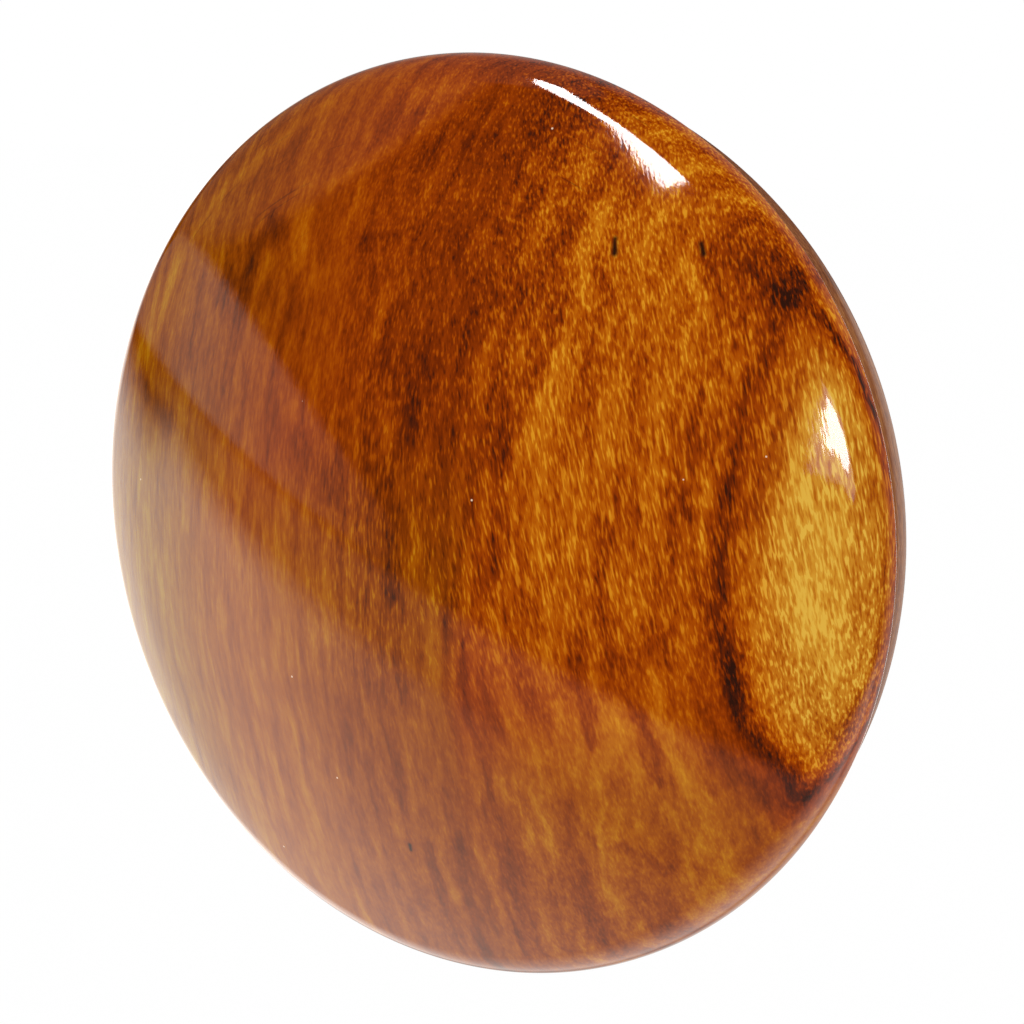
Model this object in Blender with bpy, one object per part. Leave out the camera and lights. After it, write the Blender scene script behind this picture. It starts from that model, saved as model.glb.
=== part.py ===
"""A large turned wooden cabinet knob with its brass insert, washer and fixing screw.

The domed head is cut from a board, so its grain runs across the face. The neck is turned with its grain
along the axis, and its tenon is glued into the head. A brass insert pressed into the neck takes the screw
that comes through the drawer front.

The knob's axis is horizontal, as it is in use. The domed face looks along -Y, the foot lies on the plane
y = 0, and the origin is the foot's centre. Each piece is drawn upright, with its own +Z running from the
foot towards the dome, and hangs on an empty that lays the axis down.
"""

import math

import bmesh
import bpy

MM = 0.001
SEAT_GAP = 0.3 * MM  # between pieces that touch

# Driving dimensions of the wood. Heights are measured from the foot towards the dome.
HEAD_RADIUS = 25 * MM
RIM_HEIGHT = 24 * MM  # the crisp edge between the dome's side and the underside
DOME_RISE = 8.5 * MM
SHOULDER_RADIUS = 2.6 * MM
QUIRK = 0.6 * MM  # small step turned just behind the rim
UNDERSIDE_DEPTH = 10.8 * MM
JOINT_HEIGHT = 12.4 * MM  # where the head sits on the neck's shoulder
NECK_TOP_RADIUS = 10 * MM
WAIST_RADIUS = 8.4 * MM
WAIST_HEIGHT = 7 * MM
FOOT_RADIUS = 11.8 * MM
FOOT_THICKNESS = 2.2 * MM  # at the flared foot's edge
TENON_RADIUS = 7 * MM
TENON_LENGTH = 9.5 * MM
RECESS_RADIUS = 6.5 * MM  # hollow in the foot, which the washer sits in
RECESS_DEPTH = 1.2 * MM

# Driving dimensions of the metal: an M4 x 25 pan head screw, its washer and its insert
PITCH = 0.7 * MM
SCREW_LENGTH = 25 * MM
SCREW_CREST_RADIUS = 1.92 * MM
SCREW_ROOT_RADIUS = 1.56 * MM
CREST_FLAT = PITCH / 8
THREAD_SLOPE = math.tan(math.radians(30))  # half the width that a 60 degree ridge gains per unit of depth
THREAD_PLAY = 0.1 * MM  # between the flanks, along the axis
THREAD_RADIAL_PLAY = 0.16 * MM
PAN_RADIUS = 4 * MM
PAN_HEIGHT = 3.1 * MM
WASHER_RADIUS = 4.5 * MM
WASHER_BORE = 2.15 * MM
WASHER_THICKNESS = 0.8 * MM
INSERT_RADIUS = 3.6 * MM
INSERT_LENGTH = 12 * MM
BARB = 0.35 * MM
BARB_COUNT = 5
FLANGE_RADIUS = 5 * MM
FLANGE_THICKNESS = 0.8 * MM
PILOT_RADIUS = 2.5 * MM

# Where the pieces lie on the axis
TENON_TOP = JOINT_HEIGHT - SEAT_GAP + TENON_LENGTH
INSERT_FOOT = RECESS_DEPTH
WASHER_TOP = INSERT_FOOT - SEAT_GAP
SCREW_SEAT = WASHER_TOP - WASHER_THICKNESS - SEAT_GAP
SCREW_TIP = SCREW_SEAT + SCREW_LENGTH
PILOT_TOP = SCREW_TIP + 1.2 * MM

HEAD_SEGMENTS = 64
NECK_SEGMENTS = 40
METAL_SEGMENTS = 32
THREAD_SEGMENTS = 16


def clear_scene():
    for obj in list(bpy.data.objects):
        bpy.data.objects.remove(obj, do_unlink=True)


def material(name, colour, roughness, metallic=0.0):
    made = bpy.data.materials.new(name)
    made.use_nodes = True
    shader = made.node_tree.nodes["Principled BSDF"]
    shader.inputs["Base Color"].default_value = (*colour, 1)
    shader.inputs["Roughness"].default_value = roughness
    shader.inputs["Metallic"].default_value = metallic
    return made


def arc(centre, radius, start, end, steps, squash=1.0):
    """Points (r, z) on an arc, angles in degrees from +r towards +z; squash scales its height."""
    points = []
    for i in range(steps + 1):
        angle = math.radians(start + (end - start) * i / steps)
        points.append((centre[0] + radius * math.cos(angle),
                       centre[1] + squash * radius * math.sin(angle)))
    return points


def add_object(name, bm, finish, parent, height):
    bmesh.ops.recalc_face_normals(bm, faces=bm.faces)
    mesh = bpy.data.meshes.new(name)
    bm.to_mesh(mesh)
    bm.free()
    mesh.shade_smooth()
    mesh.set_sharp_from_angle(angle=math.radians(32))
    mesh.materials.append(finish)
    obj = bpy.data.objects.new(name, mesh)
    bpy.context.scene.collection.objects.link(obj)
    obj.parent = parent
    obj.location = (0, 0, height)
    return obj


def turned(name, profile, segments, finish, parent, height=0.0, ring=False):
    """Spin a profile of (r, z) points about Z. A ring's profile closes on itself; a solid's ends on the axis."""
    bm = bmesh.new()
    points = [bm.verts.new((r, 0, z)) for r, z in profile]
    pairs = list(zip(points, points[1:]))
    if ring:
        pairs.append((points[-1], points[0]))
    edges = [bm.edges.new(pair) for pair in pairs]
    bmesh.ops.spin(bm, geom=points + edges, cent=(0, 0, 0), axis=(0, 0, 1),
                   angle=math.tau, steps=segments)
    bmesh.ops.remove_doubles(bm, verts=bm.verts, dist=0.001 * MM)
    return add_object(name, bm, finish, parent, height)


def threaded_rod(name, root, crest, crest_flat, low, high, finish, parent, fade_turns=0.8):
    """A right-hand threaded rod from z = low to z = high, closed at both ends.

    The ridge's middle passes z = 0 at angle 0, whatever the ends are, so two rods made here are in step.
    Its height fades to nothing over the first and last part-turn when fade_turns isn't 0.
    """
    half_crest = crest_flat / 2
    half_root = half_crest + (crest - root) * THREAD_SLOPE
    steps = ((-half_root, 0), (-half_crest, 1), (half_crest, 1), (half_root, 0))
    first = math.ceil((low + half_root) / PITCH)
    last = math.floor((high - half_root) / PITCH) - 1

    end = last + (THREAD_SEGMENTS - 1) / THREAD_SEGMENTS

    def ridge_height(turn):
        inside = min(turn - first, end - turn)
        return max(0.0, min(1.0, inside / fade_turns))

    bm = bmesh.new()
    columns = []
    for k in range(THREAD_SEGMENTS):
        share = k / THREAD_SEGMENTS
        angle = math.tau * share
        column = []
        for turn in range(first, last + 1):
            rise = (crest - root) * ridge_height(turn + share)
            for offset, on_crest in steps:
                r = root + rise * on_crest
                z = (turn + share) * PITCH + offset
                column.append(bm.verts.new((r * math.cos(angle), r * math.sin(angle), z)))
        columns.append(column)
    rings = [[bm.verts.new((root * math.cos(math.tau * k / THREAD_SEGMENTS),
                            root * math.sin(math.tau * k / THREAD_SEGMENTS), z))
              for k in range(THREAD_SEGMENTS)] for z in (low, high)]

    for k in range(THREAD_SEGMENTS - 1):
        here, there = columns[k], columns[k + 1]
        for a, b, c, d in zip(here, there, there[1:], here[1:]):
            bm.faces.new((a, b, c, d))
        bm.faces.new((rings[0][k], rings[0][k + 1], there[0], here[0]))
        bm.faces.new((here[-1], there[-1], rings[1][k + 1], rings[1][k]))
    # the last column meets the first one a whole turn further on
    here, there = columns[-1], columns[0]
    step = len(steps)
    for a, b, c, d in zip(here, there[step:], there[step + 1:], here[1:]):
        bm.faces.new((a, b, c, d))
    bm.faces.new([rings[0][-1], rings[0][0]] + there[:step + 1] + [here[0]])
    bm.faces.new(here[-step - 1:] + [rings[1][-1], rings[1][0], there[-1]])
    for ring in rings:
        bm.faces.new(ring)
    return add_object(name, bm, finish, parent, 0.0)


def make_cutter(obj):
    obj.hide_render = True
    obj.display_type = "WIRE"
    return obj


def boolean(obj, operation, other):
    step = obj.modifiers.new(operation.title(), "BOOLEAN")
    step.operation = operation
    step.solver = "EXACT"
    step.object = other


def knob_head(axis, wood):
    """Dome, shoulder and rounded underside, with a blind mortise and the pilot hole beyond it."""
    shoulder_centre = (HEAD_RADIUS - SHOULDER_RADIUS, RIM_HEIGHT)
    dome_radius = ((shoulder_centre[0] ** 2 + DOME_RISE ** 2 - SHOULDER_RADIUS ** 2)
                   / (2 * (DOME_RISE - SHOULDER_RADIUS)))
    dome_centre = RIM_HEIGHT + DOME_RISE - dome_radius
    meeting = math.degrees(math.atan2(RIM_HEIGHT - dome_centre, shoulder_centre[0]))
    dome = arc((0, dome_centre), dome_radius, 90, meeting, 9)
    shoulder = arc(shoulder_centre, SHOULDER_RADIUS, meeting, 0, 6)
    bowl_top = RIM_HEIGHT - QUIRK / 2
    bowl_radius = HEAD_RADIUS - QUIRK - NECK_TOP_RADIUS
    bowl = arc((NECK_TOP_RADIUS, bowl_top), bowl_radius, 0, -90, 10, squash=UNDERSIDE_DEPTH / bowl_radius)
    mortise_radius = TENON_RADIUS + SEAT_GAP
    mortise_top = TENON_TOP + SEAT_GAP
    profile = dome + shoulder[1:] + bowl + [
        (NECK_TOP_RADIUS, JOINT_HEIGHT),
        (mortise_radius, JOINT_HEIGHT),
        (mortise_radius, mortise_top),
        (PILOT_RADIUS, mortise_top),
        (PILOT_RADIUS, PILOT_TOP),
        (0, PILOT_TOP + PILOT_RADIUS / 2),
    ]
    profile[0] = (0, profile[0][1])
    return turned("knob_head", profile, HEAD_SEGMENTS, wood, axis)


def neck_side():
    """The neck's outside, from its top shoulder round the waist to the flared foot."""
    top = JOINT_HEIGHT - SEAT_GAP
    edge = 0.5 * MM
    rise = top - WAIST_HEIGHT
    upper = arc((NECK_TOP_RADIUS, WAIST_HEIGHT), NECK_TOP_RADIUS - WAIST_RADIUS, 90, 180, 5,
                squash=rise / (NECK_TOP_RADIUS - WAIST_RADIUS))
    fall = WAIST_HEIGHT - FOOT_THICKNESS
    flare = FOOT_RADIUS - edge - WAIST_RADIUS
    lower = arc((FOOT_RADIUS - edge, WAIST_HEIGHT), flare, 180, 270, 7, squash=fall / flare)
    rim = arc((FOOT_RADIUS - edge, FOOT_THICKNESS - edge), edge, 60, 0, 2)
    return upper + lower[1:] + rim + arc((FOOT_RADIUS - edge, edge), edge, 0, -90, 3)


def knob_neck(axis, wood):
    """Turned neck with a round tenon above it, bored for the insert and the screw."""
    chamfer = 0.5 * MM
    flange_bore = FLANGE_RADIUS + SEAT_GAP
    flange_seat = RECESS_DEPTH + FLANGE_THICKNESS + SEAT_GAP
    insert_bore = INSERT_RADIUS + BARB + SEAT_GAP
    insert_top = INSERT_FOOT + INSERT_LENGTH + 1 * MM
    profile = [
        (PILOT_RADIUS, TENON_TOP),
        (TENON_RADIUS - chamfer, TENON_TOP),
        (TENON_RADIUS, TENON_TOP - chamfer),
        (TENON_RADIUS, JOINT_HEIGHT - SEAT_GAP),
    ] + neck_side() + [
        (RECESS_RADIUS, 0),
        (RECESS_RADIUS, RECESS_DEPTH),
        (flange_bore, RECESS_DEPTH),
        (flange_bore, flange_seat),
        (insert_bore, flange_seat),
        (insert_bore, insert_top),
        (PILOT_RADIUS, insert_top),
    ]
    return turned("knob_neck", profile, NECK_SEGMENTS, wood, axis, ring=True)


def threaded_insert(axis, brass):
    """Pressed-in insert: a flange, a barbed body, and an M4 thread tapped right through it."""
    tap_crest = SCREW_CREST_RADIUS + THREAD_RADIAL_PLAY
    tap_flat = 2 * THREAD_PLAY + CREST_FLAT - 2 * THREAD_RADIAL_PLAY * THREAD_SLOPE
    mouth = tap_crest + 0.2 * MM
    collar = FLANGE_THICKNESS + 0.8 * MM
    barb_pitch = (INSERT_LENGTH - collar - 0.8 * MM) / BARB_COUNT
    profile = [(0, mouth), (mouth, 0), (FLANGE_RADIUS, 0), (FLANGE_RADIUS, FLANGE_THICKNESS),
               (INSERT_RADIUS, FLANGE_THICKNESS)]
    for i in range(BARB_COUNT):
        z = collar + i * barb_pitch
        profile += [(INSERT_RADIUS, z), (INSERT_RADIUS + BARB, z), (INSERT_RADIUS, z + 0.8 * barb_pitch)]
    profile += [(INSERT_RADIUS, INSERT_LENGTH - 0.5 * MM), (INSERT_RADIUS - 0.4 * MM, INSERT_LENGTH),
                (mouth, INSERT_LENGTH), (0, INSERT_LENGTH - mouth)]
    insert = turned("threaded_insert", profile, METAL_SEGMENTS, brass, axis, INSERT_FOOT)
    tap = threaded_rod("tap", SCREW_ROOT_RADIUS + THREAD_RADIAL_PLAY, tap_crest, tap_flat,
                       INSERT_FOOT - 2 * PITCH, INSERT_FOOT + INSERT_LENGTH + 2 * PITCH, brass, axis)
    boolean(insert, "DIFFERENCE", make_cutter(tap))
    return insert


def flat_washer(axis, steel):
    profile = [(WASHER_BORE, -WASHER_THICKNESS), (WASHER_RADIUS, -WASHER_THICKNESS),
               (WASHER_RADIUS, 0), (WASHER_BORE, 0)]
    return turned("flat_washer", profile, METAL_SEGMENTS, steel, axis, WASHER_TOP, ring=True)


def cross_recess(axis, steel):
    """The cutter for a cross drive: a plus-shaped outline that narrows with depth."""
    top, bottom = SCREW_SEAT - PAN_HEIGHT - 0.5 * MM, SCREW_SEAT - 0.7 * MM
    bm = bmesh.new()
    loops = []
    for z, reach, half in ((top, 2.4 * MM, 0.62 * MM), (bottom, 0.9 * MM, 0.35 * MM)):
        loop = []
        for arm in range(4):
            turn = math.tau * arm / 4
            for x, y in ((half, -half), (reach, -half), (reach, half)):
                loop.append(bm.verts.new((x * math.cos(turn) - y * math.sin(turn),
                                          x * math.sin(turn) + y * math.cos(turn), z)))
        loops.append(loop)
    count = len(loops[0])
    for i in range(count):
        j = (i + 1) % count
        bm.faces.new((loops[0][i], loops[0][j], loops[1][j], loops[1][i]))
    bm.faces.new(loops[0])
    bm.faces.new(loops[1])
    return make_cutter(add_object("cross_recess", bm, steel, axis, 0.0))


def fixing_screw(axis, steel):
    """M4 pan head screw. Its thread is in step with the insert's when it is wound right home."""
    side = 1.5 * MM
    crown = arc((PAN_RADIUS - side, side - PAN_HEIGHT), side, 0, -90, 5)
    profile = [(0, 0), (PAN_RADIUS - 0.2 * MM, 0), (PAN_RADIUS, -0.2 * MM)] + crown + [(0, -PAN_HEIGHT)]
    screw = turned("fixing_screw", profile, METAL_SEGMENTS, steel, axis, SCREW_SEAT)
    shank = threaded_rod("screw_shank", SCREW_ROOT_RADIUS, SCREW_CREST_RADIUS, CREST_FLAT,
                         SCREW_SEAT - 0.3 * MM, SCREW_TIP, steel, axis)
    boolean(screw, "UNION", make_cutter(shank))
    boolean(screw, "DIFFERENCE", cross_recess(axis, steel))
    return screw


def build():
    clear_scene()
    axis = bpy.data.objects.new("knob_axis", None)
    bpy.context.scene.collection.objects.link(axis)
    axis.rotation_euler = (math.radians(90), 0, 0)

    head_wood = material("lacquered_face_wood", (0.33, 0.11, 0.025), 0.15)
    neck_wood = material("lacquered_neck_wood", (0.27, 0.10, 0.03), 0.25)
    brass = material("brass", (0.80, 0.58, 0.26), 0.3, 1.0)
    steel = material("zinc_plated_steel", (0.62, 0.63, 0.65), 0.3, 1.0)

    knob_head(axis, head_wood)
    knob_neck(axis, neck_wood)
    threaded_insert(axis, brass)
    flat_washer(axis, steel)
    fixing_screw(axis, steel)


build()
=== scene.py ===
import math

import bmesh
import bpy
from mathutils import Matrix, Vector


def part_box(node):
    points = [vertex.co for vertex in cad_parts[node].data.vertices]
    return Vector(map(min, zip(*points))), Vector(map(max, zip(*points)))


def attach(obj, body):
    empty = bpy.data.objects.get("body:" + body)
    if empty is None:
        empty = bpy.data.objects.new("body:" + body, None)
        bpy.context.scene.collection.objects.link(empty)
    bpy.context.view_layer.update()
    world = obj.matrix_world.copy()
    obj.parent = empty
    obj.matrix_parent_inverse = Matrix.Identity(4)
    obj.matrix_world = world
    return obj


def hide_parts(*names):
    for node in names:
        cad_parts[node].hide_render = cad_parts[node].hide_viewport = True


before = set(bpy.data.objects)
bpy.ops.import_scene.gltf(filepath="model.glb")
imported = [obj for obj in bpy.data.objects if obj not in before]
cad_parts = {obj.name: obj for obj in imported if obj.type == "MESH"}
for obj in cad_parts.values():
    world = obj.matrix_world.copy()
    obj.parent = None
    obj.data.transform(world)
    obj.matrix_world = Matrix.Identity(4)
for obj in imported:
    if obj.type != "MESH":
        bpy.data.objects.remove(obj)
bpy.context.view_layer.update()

MM = 0.001

# The turned head. Its overall sizes come from the CAD box, and its curves repeat the CAD profile.
HEAD_LOW, HEAD_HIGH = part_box("knob_head")
NECK_LOW, NECK_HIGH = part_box("knob_neck")
HEAD_RADIUS = HEAD_HIGH.x
APEX = -HEAD_LOW.y
JOINT = -HEAD_HIGH.y
FOOT_RADIUS = NECK_HIGH.x
TENON_TOP = -NECK_LOW.y
DOME_RISE = 8.5 * MM
RIM = APEX - DOME_RISE
SHOULDER_RADIUS = 2.6 * MM
ARRIS_RADIUS = 0.14 * MM
QUIRK = 0.6 * MM
UNDERSIDE_DEPTH = 10.8 * MM
NECK_TOP_RADIUS = 10 * MM
TENON_RADIUS = 7 * MM
SEAT_GAP = 0.3 * MM
PILOT_RADIUS = 2.5 * MM
PILOT_TOP = 26 * MM
WAIST_RADIUS = 8.4 * MM
WAIST_HEIGHT = 7 * MM
FOOT_THICKNESS = 2.2 * MM
FOOT_EDGE = 0.5 * MM
RECESS_RADIUS = 6.5 * MM
RECESS_DEPTH = 1.2 * MM
FLANGE_RADIUS = 5.3 * MM
FLANGE_DEPTH = 2.3 * MM
INSERT_RADIUS = 4.25 * MM
INSERT_DEPTH = 14.2 * MM
TENON_CHAMFER = 0.5 * MM

HEAD_CENTRE = Vector((0, -RIM, 0))


# ---------------------------------------------------------------- shapes

def arc(centre, radius, start, end, steps, squash=1.0):
    """Points (r, h) on an arc, angles in degrees from +r towards the dome."""
    points = []
    for i in range(steps + 1):
        angle = math.radians(start + (end - start) * i / steps)
        points.append((centre[0] + radius * math.cos(angle),
                       centre[1] + squash * radius * math.sin(angle)))
    return points


def turned(name, profile, segments, sharp=30, closed=False):
    """A profile of (radius, height) points turned about the knob's axis, where height runs towards -Y."""
    bm = bmesh.new()
    rings = []
    for r, h in profile:
        if r < 1e-7:
            rings.append([bm.verts.new((0, -h, 0))])
            continue
        rings.append([bm.verts.new((r * math.cos(math.tau * k / segments), -h,
                                    r * math.sin(math.tau * k / segments))) for k in range(segments)])
    pairs = list(zip(rings, rings[1:]))
    if closed:
        pairs.append((rings[-1], rings[0]))
    for a, b in pairs:
        for k in range(segments):
            j = (k + 1) % segments
            if len(a) == 1:
                bm.faces.new((a[0], b[k], b[j]))
            elif len(b) == 1:
                bm.faces.new((a[k], b[0], a[j]))
            else:
                bm.faces.new((a[k], b[k], b[j], a[j]))
    bmesh.ops.recalc_face_normals(bm, faces=bm.faces)
    mesh = bpy.data.meshes.new(name)
    bm.to_mesh(mesh)
    bm.free()
    mesh.shade_smooth()
    mesh.set_sharp_from_angle(angle=math.radians(sharp))
    obj = bpy.data.objects.new(name, mesh)
    bpy.context.scene.collection.objects.link(obj)
    return obj


def head_profile():
    centre = (HEAD_RADIUS - SHOULDER_RADIUS, RIM)
    dome_radius = ((centre[0] ** 2 + DOME_RISE ** 2 - SHOULDER_RADIUS ** 2)
                   / (2 * (DOME_RISE - SHOULDER_RADIUS)))
    dome_centre = APEX - dome_radius
    meeting = math.degrees(math.atan2(RIM - dome_centre, centre[0]))
    dome = arc((0, dome_centre), dome_radius, 90, meeting, 64)
    dome[0] = (0, APEX)
    shoulder = arc(centre, SHOULDER_RADIUS, meeting, 0, 40)
    arris = arc((HEAD_RADIUS - ARRIS_RADIUS, RIM - ARRIS_RADIUS * 0.4), ARRIS_RADIUS, 0, -75, 8)
    bowl_top = RIM - QUIRK / 2
    bowl_radius = HEAD_RADIUS - QUIRK - NECK_TOP_RADIUS
    bowl = arc((NECK_TOP_RADIUS, bowl_top), bowl_radius, -2, -90, 48, squash=UNDERSIDE_DEPTH / bowl_radius)
    mortise = TENON_RADIUS + SEAT_GAP
    top = TENON_TOP + SEAT_GAP
    return dome + shoulder[1:] + arris[1:] + bowl + [
        (NECK_TOP_RADIUS, JOINT), (mortise, JOINT), (mortise, top),
        (PILOT_RADIUS, top), (PILOT_RADIUS, PILOT_TOP), (0, PILOT_TOP + PILOT_RADIUS / 2)]


def neck_profile():
    top = JOINT - SEAT_GAP
    narrowing = NECK_TOP_RADIUS - WAIST_RADIUS
    upper = arc((NECK_TOP_RADIUS, WAIST_HEIGHT), narrowing, 90, 180, 24,
                squash=(top - WAIST_HEIGHT) / narrowing)
    flare = FOOT_RADIUS - FOOT_EDGE - WAIST_RADIUS
    lower = arc((FOOT_RADIUS - FOOT_EDGE, WAIST_HEIGHT), flare, 180, 270, 32,
                squash=(WAIST_HEIGHT - FOOT_THICKNESS) / flare)
    rim = arc((FOOT_RADIUS - FOOT_EDGE, FOOT_THICKNESS - FOOT_EDGE), FOOT_EDGE, 60, 0, 8)
    edge = arc((FOOT_RADIUS - FOOT_EDGE, FOOT_EDGE), FOOT_EDGE, 0, -90, 10)
    tenon = [(PILOT_RADIUS, TENON_TOP), (TENON_RADIUS - TENON_CHAMFER, TENON_TOP),
             (TENON_RADIUS, TENON_TOP - TENON_CHAMFER), (TENON_RADIUS, top)]
    bore = [(RECESS_RADIUS, 0), (RECESS_RADIUS, RECESS_DEPTH), (FLANGE_RADIUS, RECESS_DEPTH),
            (FLANGE_RADIUS, FLANGE_DEPTH), (INSERT_RADIUS, FLANGE_DEPTH), (INSERT_RADIUS, INSERT_DEPTH),
            (PILOT_RADIUS, INSERT_DEPTH)]
    return tenon + upper + lower[1:] + rim + edge + bore


# ---------------------------------------------------------------- materials

class Nodes:
    """Short calls for building a node tree. Sockets passed in are linked, and plain numbers are set."""

    def __init__(self, name):
        self.material = bpy.data.materials.new(name)
        self.material.use_nodes = True
        self.tree = self.material.node_tree
        self.tree.nodes.clear()

    def add(self, kind, inputs=None, **settings):
        node = self.tree.nodes.new(kind)
        for key, value in settings.items():
            setattr(node, key, value)
        for key, value in (inputs or {}).items():
            socket = node.inputs[key]
            if isinstance(value, bpy.types.NodeSocket):
                self.tree.links.new(value, socket)
            else:
                socket.default_value = value
        return node

    def math(self, operation, a, b=0.0, clamp=False):
        return self.add("ShaderNodeMath", {0: a, 1: b}, operation=operation, use_clamp=clamp).outputs[0]

    def chain(self, operation, values):
        result = values[0]
        for value in values[1:]:
            result = self.math(operation, result, value)
        return result

    def total(self, *values):
        return self.chain("ADD", values)

    def product(self, *values):
        return self.chain("MULTIPLY", values)

    def largest(self, *values):
        return self.chain("MAXIMUM", values)

    def less(self, a, b):
        return self.math("SUBTRACT", a, b)

    def vector(self, operation, a, b=(0, 0, 0)):
        node = self.add("ShaderNodeVectorMath", {0: a, 1: b}, operation=operation)
        return node.outputs["Value" if operation in ("DOT_PRODUCT", "DISTANCE") else "Vector"]

    def scaled(self, vector, scale):
        return self.add("ShaderNodeVectorMath", {0: vector, "Scale": scale}, operation="SCALE").outputs[0]

    def split(self, vector):
        return self.add("ShaderNodeSeparateXYZ", {0: vector}).outputs

    def join(self, x=0.0, y=0.0, z=0.0):
        return self.add("ShaderNodeCombineXYZ", {0: x, 1: y, 2: z}).outputs[0]

    def noise(self, place, scale, detail=4.0, roughness=0.55):
        return self.add("ShaderNodeTexNoise", {"Vector": place, "Scale": scale, "Detail": detail,
                                               "Roughness": roughness}).outputs["Fac"]

    def swing(self, place, scale, detail=4.0, roughness=0.55):
        """Noise that swings about zero."""
        return self.less(self.noise(place, scale, detail, roughness), 0.5)

    def stretch(self, place, scale):
        return self.add("ShaderNodeMapping", {"Vector": place, "Scale": scale}).outputs[0]

    def along(self, place, lean, length):
        """Coordinates drawn out along the grain, which leans by this many degrees from Z towards X."""
        return self.add("ShaderNodeMapping", {"Vector": place, "Rotation": (0, math.radians(lean), 0),
                                              "Scale": (1, 1, length)}, vector_type="TEXTURE").outputs[0]

    def between(self, value, low, high, out_low=0.0, out_high=1.0, smooth=True):
        return self.add("ShaderNodeMapRange", {"Value": value, "From Min": low, "From Max": high,
                                               "To Min": out_low, "To Max": out_high},
                        interpolation_type="SMOOTHSTEP" if smooth else "LINEAR").outputs[0]

    def ramp(self, value, stops):
        node = self.add("ShaderNodeValToRGB", {"Fac": value})
        elements = node.color_ramp.elements
        while len(elements) < len(stops):
            elements.new(0.5)
        for element, (place, colour) in zip(elements, stops):
            element.position = place
            element.color = (*colour, 1)
        return node.outputs["Color"]

    def tint(self, share, colour, factors):
        """The colour multiplied by three factors, by this share."""
        return self.mix(share, colour, self.mix(1.0, colour, factors, "MULTIPLY"))

    def mix(self, share, a, b, blend="MIX"):
        node = self.add("ShaderNodeMix", data_type="RGBA", blend_type=blend, clamp_factor=True)
        for socket, value in ((node.inputs[0], share), (node.inputs[6], a), (node.inputs[7], b)):
            if isinstance(value, bpy.types.NodeSocket):
                self.tree.links.new(value, socket)
            elif isinstance(value, (tuple, list)):
                socket.default_value = (*value, 1)
            elif socket == node.inputs[0]:
                socket.default_value = value
            else:
                socket.default_value = (value, value, value, 1)
        return node.outputs[2]

    def bump(self, height, strength, depth):
        return self.add("ShaderNodeBump", {"Height": height, "Strength": strength,
                                           "Distance": depth}).outputs[0]

    def finish(self, inputs):
        shader = self.add("ShaderNodeBsdfPrincipled", inputs)
        self.add("ShaderNodeOutputMaterial", {"Surface": shader.outputs[0]})
        return self.material

    def place_mm(self):
        """The surface point in the row frame, in millimetres."""
        return self.scaled(self.add("ShaderNodeTexCoord").outputs["Object"], 1 / MM)


def marks(n, flat, wobble, lines):
    """Soft marks along lines on the face: each is (from, to, half width in mm, strength)."""
    drawn = []
    for start, end, width, strength in lines:
        a, b = Vector((start[0], 0, start[1])), Vector((end[0], 0, end[1]))
        along = b - a
        offset = n.vector("SUBTRACT", flat, a)
        share = n.math("MULTIPLY", n.vector("DOT_PRODUCT", offset, along), 1 / along.length_squared,
                       clamp=True)
        distance = n.total(n.vector("DISTANCE", offset, n.scaled(along, share)), wobble)
        drawn.append(n.between(distance, 0.0, width, strength, 0.0))
    return n.largest(*drawn)


def growth_layers(n, p, z):
    """Growth layers: nearly flat sheets that face the right-hand shoulder, bent slightly along the grain."""
    bend = n.total(n.product(z, z, 0.0065), n.between(z, 13.0, 15.5, -0.08, 0.5),
                   n.between(z, -7.0, -12.0, 0.0, -0.36))
    sheet = n.total(n.vector("DOT_PRODUCT", p, (0.6, -0.8, 0.0)), bend)
    lean = n.product(z, -0.06, n.between(sheet, 32.5, 30.0))
    sweep = n.product(n.swing(n.stretch(p, (1, 1, 0.5)), 0.16, 2.0), n.between(sheet, 33.2, 31.0, 0.0, 0.9))
    ripple = n.product(n.swing(n.stretch(p, (1, 1, 0.25)), 1.3, 4.0, 0.6),
                       n.between(sheet, 31.5, 33.2, 0.5, 0.26))
    return n.total(sheet, lean, sweep, ripple)


def layer_tone(n, layer, y, z):
    """How pale the wood is by growth layer: dark centre, golden band, dark line and pale patch."""
    stops = ((0, 0.43), (14, 0.45), (21, 0.45), (24.5, 0.34), (27.2, 0.32), (28.6, 0.42), (29.8, 0.55),
             (31.4, 0.58), (32.8, 0.58), (33.4, 0.48), (33.8, 0.44), (34.0, 0.42), (34.15, 0.60),
             (34.5, 0.75), (35.0, 0.85))
    thickest = 40.0
    base = n.ramp(n.math("DIVIDE", layer, thickest),
                  [(place / thickest, (tone, tone, tone)) for place, tone in stops])
    line = n.product(n.math("ABSOLUTE", n.less(layer, 33.88)), n.between(z, -10.0, -14.5, 1.0, 1.9))
    line_ends = n.between(n.math("ABSOLUTE", n.less(z, 0.5)), 2.0, 6.5, 0.08, 0.22)
    base = n.less(base, n.product(n.between(line, 0.24, 0.02), line_ends))

    patch = n.between(layer, 33.9, 34.3)
    golden = n.less(n.between(z, 12.0, -8.0, 0.06, -0.03), n.between(z, -9.0, -16.0, 0.0, -0.02))
    left = n.mix(n.between(z, 9.0, -4.0), -0.11, 0.10)
    uneven = n.mix(n.between(layer, 29.0, 27.5), n.mix(patch, golden, 0.0), left)
    rim_side = n.product(n.between(y, -27.2, -25.2), n.between(z, 11.0, 4.0, 0.2, 1.0), patch, 0.21)
    return n.less(n.total(base, uneven), rim_side)


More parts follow.
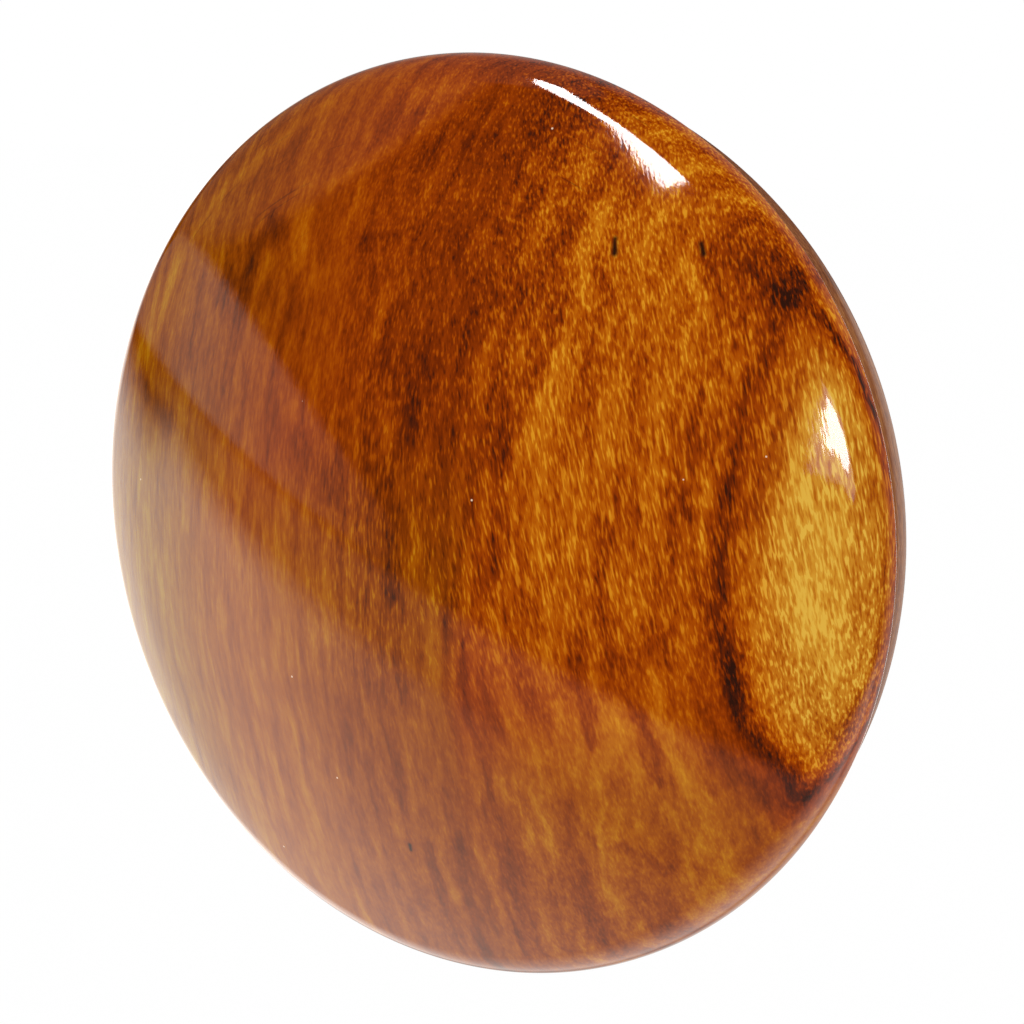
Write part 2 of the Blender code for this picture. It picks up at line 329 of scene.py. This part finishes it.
def face_wood():
    n = Nodes("face_wood")
    p = n.place_mm()
    x, y, z = n.split(p)
    flat = n.join(x=x, z=z)
    layer = growth_layers(n, p, z)

    across = n.vector("DOT_PRODUCT", p, (0.8, 0.6, 0.0))
    streaks = n.swing(n.join(layer, n.product(across, 0.07), n.product(z, 0.07)), 2.0, 4.0, 0.6)
    blotch = n.swing(n.along(p, -6, 3), 0.8, 4.0, 0.62)
    right_half = n.between(x, -3.0, 8.0)
    dashes = n.less(n.mix(right_half, n.noise(n.along(p, -1, 7), 2.4, 2.0, 0.5),
                          n.noise(n.along(p, -12, 6), 2.4, 2.0, 0.5)), 0.5)
    fibre = n.mix(right_half, n.noise(n.along(p, 1, 6), 7.5, 1.0, 0.5),
                  n.noise(n.along(p, -13, 6), 7.5, 1.0, 0.5))
    calm = n.mix(n.between(layer, 33.7, 34.2), n.between(z, 0.0, -11.0, 1.0, 0.25), 1.0)
    # the next term lifts single fibres to gold: wood grain plus a painted chatoyant sheen, the glow of fibres
    # lit from the upper right
    gold_fibre_sheen = n.product(n.between(fibre, 0.52, 0.67), calm, n.between(layer, 20.0, 29.0, 0.06, 0.29))
    gap = n.product(n.between(fibre, 0.48, 0.30), calm, n.between(layer, 20.0, 29.0, 0.05, 0.18))
    tone = n.total(layer_tone(n, layer, y, z),
                   n.product(streaks, n.between(layer, 30.0, 24.0, 0.95, 0.65)),
                   n.product(blotch, n.between(z, 6.0, -6.0, 0.40, 0.24)),
                   n.product(dashes, n.between(layer, 18.0, 27.0, 0.20, 0.36)), gold_fibre_sheen)
    tone = n.less(tone, gap)

    # darker runs of figure; the bright marks are painted reflection lines along the upper left edge and the
    # top, a painted glint near the top, and two pale streaks of figure
    wobble = n.total(n.product(blotch, 1.6), n.product(dashes, 1.1))
    dark = marks(n, flat, wobble, [
        ((9.7, 18.5), (8.1, 16.0), 1.3, 0.20), ((8.1, 16.0), (7.6, 9.5), 1.5, 0.18),
        ((7.4, 9.5), (6.0, 4.6), 1.1, 0.17), ((12.1, 2.2), (12.3, -6.6), 0.9, 0.20),
        ((13.6, -8.1), (14.3, -11.4), 0.9, 0.18), ((-0.4, 4.6), (0.0, -2.5), 1.2, 0.10),
        ((-13.4, 12.0), (-10.5, 15.4), 1.6, 0.17), ((-12.0, 12.0), (-8.0, 11.5), 2.4, 0.12),
        ((11.6, -15.6), (16.5, -17.4), 0.8, 0.08), ((6.1, 0.6), (6.8, -3.0), 0.9, 0.13),
        ((7.4, 22.9), (11.9, 18.1), 1.2, 0.15), ((14.4, 1.0), (14.7, -5.0), 0.7, 0.14),
        ((10.4, -4.0), (11.0, -9.5), 0.7, 0.14), ((16.6, 8.6), (16.2, 3.0), 0.9, 0.16),
        ((19.2, 13.6), (21.0, 15.4), 1.3, 0.15), ((8.4, 14.5), (8.9, 11.5), 1.3, 0.14),
        ((-0.2, 8.8), (0.6, 6.0), 1.8, 0.13), ((9.8, 1.0), (9.4, -7.0), 0.8, 0.08),
        ((9.5, -21.0), (13.5, -21.5), 2.6, 0.14), ((17.4, 11.0), (17.0, 7.0), 1.0, 0.14),
        ((-20.6, 6.2), (-17.4, 4.4), 1.3, 0.17), ((-15.0, 8.5), (-6.0, 3.5), 3.0, 0.05),
        ((20.8, 15.4), (22.3, 13.4), 1.0, 0.22)])
    # painted reflection lines along the upper left edge and the top, a painted glint at (5.7, 19.8), and pale
    # figure streaks from (6.1, -5.0) and (14.8, 14.6)
    bright = marks(n, flat, wobble, [
        ((-20.8, 7.6), (-18.3, 13.0), 1.6, 0.16), ((-18.5, 12.6), (-15.8, 16.6), 0.6, 0.14),
        ((-15.8, 16.6), (-8.4, 22.3), 0.6, 0.14), ((-6.7, 18.0), (-2.6, 20.5), 0.6, 0.14),
        ((-2.6, 20.5), (2.0, 23.5), 1.0, 0.14), ((5.7, 19.8), (6.2, 19.2), 0.8, 0.16),
        ((6.1, -5.0), (8.0, -10.9), 0.6, 0.10), ((-2.5, 23.0), (1.5, 23.4), 1.3, 0.14),
        ((14.8, 14.6), (16.2, 12.4), 1.3, 0.10)])
    tone = n.total(n.less(tone, dark), bright)

    colour = n.ramp(tone, [
        (0.00, (0.030, 0.008, 0.004)), (0.12, (0.080, 0.012, 0.003)), (0.25, (0.170, 0.021, 0.001)),
        (0.42, (0.300, 0.041, 0.001)), (0.56, (0.410, 0.073, 0.001)), (0.70, (0.510, 0.125, 0.003)),
        (0.86, (0.610, 0.190, 0.006)), (1.00, (0.720, 0.290, 0.014))])
    colour = n.tint(n.between(layer, 34.05, 34.8), colour, (1.06, 1.52, 4.0))
    lower_left = n.product(n.between(layer, 29.0, 27.5), n.between(z, 9.0, -4.0), 0.7)
    lower_right = n.product(n.between(layer, 33.8, 33.2), n.between(z, -6.0, -14.0, 0.0, 0.6))
    olive = n.largest(n.between(layer, 24.0, 14.0, 0.0, 0.75), lower_left, lower_right)
    colour = n.tint(olive, colour, (0.86, 1.36, 1.1))
    far_left = n.product(n.between(layer, 19.0, 10.0), n.between(z, 9.0, 2.0, 0.2, 1.0))
    colour = n.tint(far_left, colour, (0.88, 1.26, 1.2))

    # open pores, filled white specks in the lacquer, and fine turning scratches
    pits = marks(n, flat, n.product(dashes, 0.2), [
        ((11.0, 16.2), (11.1, 15.5), 0.26, 1.0), ((15.3, 16.1), (15.5, 15.6), 0.24, 1.0),
        ((-1.1, -17.1), (-1.1, -17.4), 0.2, 1.0)])
    colour = n.mix(pits, colour, (0.03, 0.008, 0.003))
    grit = n.add("ShaderNodeTexVoronoi", {"Vector": p, "Scale": 0.33, "Randomness": 1.0}).outputs["Distance"]
    colour = n.mix(n.between(grit, 0.024, 0.014), colour, (0.85, 0.60, 0.42))
    radius = n.vector("DISTANCE", flat)
    turning = n.noise(n.join(radius, n.product(x, 0.03)), 5.0, 2.0)
    where = n.product(n.between(z, 10.0, 16.0), n.between(n.noise(p, 0.3, 2.0), 0.45, 0.6))
    scratches = n.product(n.between(turning, 0.62, 0.72), where, 0.5)
    colour = n.mix(scratches, colour, (0.08, 0.015, 0.003))

    # the underside is painted a dull darker brown, which is painted shade under the rim, and it is only
    # thinly lacquered
    underside = n.between(y, -23.9, -23.5)
    underside_shade_brown = n.ramp(tone, [(0.2, (0.10, 0.033, 0.012)), (0.9, (0.27, 0.11, 0.045))])
    colour = n.mix(n.product(underside, 0.85), colour, underside_shade_brown)

    peel = n.total(n.product(n.noise(p, 0.9, 2.0), 0.6), n.product(fibre, 0.4))
    return n.finish({"Base Color": colour, "Roughness": 0.5, "Specular IOR Level": 0.0,
                     "Coat Weight": n.between(y, -23.9, -23.5, 1.0, 0.1), "Coat Roughness": 0.05,
                     "Coat IOR": 1.5, "Normal": n.bump(dashes, 0.1, 0.02 * MM),
                     "Coat Normal": n.bump(peel, 0.2, 0.02 * MM)})


def neck_wood():
    n = Nodes("neck_wood")
    p = n.place_mm()
    fibres = n.stretch(p, (1, 0.1, 1))
    fine = n.noise(fibres, 3.0, 4.0, 0.6)
    broad = n.noise(n.stretch(p, (1, 0.25, 1)), 0.5, 4.0)
    tone = n.total(n.product(broad, 0.6), n.product(fine, 0.4))
    colour = n.ramp(tone, [(0.30, (0.08, 0.016, 0.004)), (0.48, (0.22, 0.045, 0.006)),
                           (0.68, (0.42, 0.12, 0.015))])
    return n.finish({"Base Color": colour, "Roughness": 0.5, "Coat Weight": 0.7, "Coat Roughness": 0.1,
                     "Normal": n.bump(fine, 0.2, 0.03 * MM)})


def metal(name, colour, roughness, lines):
    n = Nodes(name)
    p = n.place_mm()
    turning = n.noise(n.stretch(p, lines), 1.0, 3.0)
    dull = n.noise(p, 0.8, 4.0)
    tint = n.mix(n.between(dull, 0.3, 0.7), colour, [c * 0.8 for c in colour])
    polish = n.between(turning, 0.3, 0.7, roughness * 0.8, roughness * 1.25)
    return n.finish({"Base Color": tint, "Metallic": 1.0, "Roughness": polish,
                     "Normal": n.bump(turning, 0.15, 0.02 * MM)})


# ---------------------------------------------------------------- the pieces

def give(obj, material):
    obj.data.materials.clear()
    obj.data.materials.append(material)


head = turned("turned_head", head_profile(), 320, sharp=40)
give(head, face_wood())
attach(head, "knob")
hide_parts("knob_head")

neck = turned("turned_neck", neck_profile(), 160, sharp=32, closed=True)
give(neck, neck_wood())
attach(neck, "knob")
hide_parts("knob_neck")

brass = metal("brass", (0.80, 0.58, 0.26), 0.28, (0.3, 14, 0.3))
steel = metal("zinc_steel", (0.62, 0.63, 0.65), 0.3, (0.3, 12, 0.3))
give(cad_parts["threaded_insert"], brass)
give(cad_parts["flat_washer"], steel)
give(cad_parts["fixing_screw"], steel)


# ---------------------------------------------------------------- camera

def towards(azimuth, elevation):
    """Unit vector from the head: azimuth 0 is -Y, 90 is +X."""
    a, e = math.radians(azimuth), math.radians(elevation)
    return Vector((math.sin(a) * math.cos(e), -math.cos(a) * math.cos(e), math.sin(e)))


CAMERA_SIDE, CAMERA_HEIGHT = 33.8, 10.4
CAMERA_DISTANCE = 0.2

camera_data = bpy.data.cameras.new("camera")
camera = bpy.data.objects.new("camera", camera_data)
bpy.context.scene.collection.objects.link(camera)
back = towards(CAMERA_SIDE, CAMERA_HEIGHT)
camera.location = HEAD_CENTRE + back * CAMERA_DISTANCE
camera.rotation_euler = (-back).to_track_quat("-Z", "Y").to_euler()
camera_data.sensor_width = 36
camera_data.lens = 130.4
camera_data.shift_x = 0.0293
camera_data.shift_y = 0.0070
camera_data.clip_start = 0.01
camera_data.clip_end = 10
bpy.context.scene.camera = camera


# ---------------------------------------------------------------- floor and light

def flat_material(name, colour, strength=None):
    n = Nodes(name)
    if strength is None:
        return n.finish({"Base Color": (*colour, 1), "Roughness": 0.9, "Specular IOR Level": 0.0})
    glow = n.add("ShaderNodeEmission", {"Color": (*colour, 1), "Strength": strength})
    n.add("ShaderNodeOutputMaterial", {"Surface": glow.outputs[0]})
    return n.material


def reflected_light(n):
    """How bright the surroundings are in each direction: sunlit ground, a wedge, a band, sky and a glint."""
    d = n.vector("NORMALIZE", n.add("ShaderNodeTexCoord").outputs["Object"])
    right, across, up = n.split(d)
    leftness = n.product(right, -1.0)
    below = n.product(up, -1.0)

    ground = n.less(n.vector("DOT_PRODUCT", d, (-0.29, 0.334, -0.897)),
                    n.between(across, -0.22, -0.04, 0.0, 0.06))
    ground = n.product(n.between(ground, 0.225, 0.36),
                       n.largest(n.between(across, 0.75, 0.45), n.between(leftness, 0.5, 0.75)))
    ground_light = n.between(n.vector("DOT_PRODUCT", d, (-1.25, 1.9, 0.0)), -1.25, 0.35, 0.15, 1.75,
                             smooth=False)
    edge = n.product(n.between(across, 0.0, 0.2), n.between(leftness, 0.5, 0.8), 0.9)
    ground = n.product(ground, n.total(ground_light, edge))

    falling = n.vector("DOT_PRODUCT", d, (-0.417, 0.076, -0.906))
    wedge = n.product(n.between(n.vector("DOT_PRODUCT", d, (0.742, 0.117, 0.66)), -0.597, -0.62),
                      n.between(falling, 0.40, 0.382), n.between(across, -0.04, -0.28, 0.5, 1.0),
                      n.between(leftness, 0.54, 0.95, 0.0, 0.72, smooth=False))
    band = n.product(n.between(falling, 0.38, 0.43), n.between(across, 0.0, -0.3, 0.0, 0.28))
    sky = n.between(n.vector("DOT_PRODUCT", d, (-0.693, 0.073, 0.717)), 0.79, 0.83, 0.0, 0.16)
    behind = n.product(n.between(across, 0.35, 0.85), n.between(below, 0.1, 0.5, 0.35, 1.0))
    glint = n.between(n.vector("DOT_PRODUCT", d, (-0.1, 0.976, -0.19)), 0.94, 0.98, 0.0, 3.5)
    return n.largest(ground, wedge, band, sky, behind, glint)


def surroundings():
    """What the lacquer mirrors, as a glowing shell that only reflections see."""
    n = Nodes("surroundings")
    glow = n.add("ShaderNodeEmission", {"Color": (1.0, 0.99, 0.95, 1), "Strength": reflected_light(n)})
    n.add("ShaderNodeOutputMaterial", {"Surface": glow.outputs[0]})
    n.material.cycles.emission_sampling = "NONE"

    bm = bmesh.new()
    bmesh.ops.create_icosphere(bm, subdivisions=5, radius=5.0)
    mesh = bpy.data.meshes.new("surroundings")
    bm.to_mesh(mesh)
    bm.free()
    mesh.materials.append(n.material)
    obj = bpy.data.objects.new("surroundings", mesh)
    bpy.context.scene.collection.objects.link(obj)
    obj.location = HEAD_CENTRE
    reflected_only(obj)


def reflected_only(obj):
    obj.visible_camera = False
    obj.visible_diffuse = False
    obj.visible_shadow = False
    obj.visible_transmission = False


def strip(name, edges, strength, colour=(1, 1, 1), distance=1.2):
    """A light seen only in reflections, as pairs of directions (azimuth, elevation) on its two long edges."""
    verts = [HEAD_CENTRE + towards(*corner) * distance for pair in edges for corner in pair]
    faces = [(2 * i, 2 * i + 2, 2 * i + 3, 2 * i + 1) for i in range(len(edges) - 1)]
    mesh = bpy.data.meshes.new(name)
    mesh.from_pydata(verts, [], faces)
    obj = bpy.data.objects.new(name, mesh)
    bpy.context.scene.collection.objects.link(obj)
    mesh.materials.append(flat_material(name, colour, strength))
    reflected_only(obj)


floor_mesh = bpy.data.meshes.new("floor")
floor_mesh.from_pydata([(-3, -3, -0.3), (3, -3, -0.3), (3, 3, -0.3), (-3, 3, -0.3)], [], [(0, 1, 2, 3)])
floor = bpy.data.objects.new("floor", floor_mesh)
bpy.context.scene.collection.objects.link(floor)
floor.data.materials.append(flat_material("floor", (0.998, 0.998, 0.998)))
floor.visible_glossy = False

surroundings()
strip("window", [((-50, 63), (-73, 69)), ((-35, 58), (-55, 72)), ((-25, 53), (-30, 66)),
                 ((-18, 48.5), (-18, 60)), ((-12, 45.5), (-10, 55)), ((-6, 42.5), (-5, 50)),
                 ((0, 39.5), (4, 41.5))], 26)
strip("second_window", [((28, 6), (28, 11)), ((33, 4), (33, 14.5)), ((42, 4.5), (42, 14.5)),
                        ((48, 7), (48, 12))], 22)
strip("window_haze", [((26, 3), (27, 12)), ((33, 0), (33, 17)), ((44, 0), (44, 17)), ((52, 3), (52, 14))],
      2.2, colour=(0.9, 0.92, 1.0), distance=1.25)

world = bpy.data.worlds.new("world")
world.use_nodes = True
world.node_tree.nodes["Background"].inputs["Color"].default_value = (1, 1, 1, 1)
world.node_tree.nodes["Background"].inputs["Strength"].default_value = 1.0
world.cycles_visibility.glossy = False
bpy.context.scene.world = world
bpy.context.scene.view_settings.view_transform = "Standard"
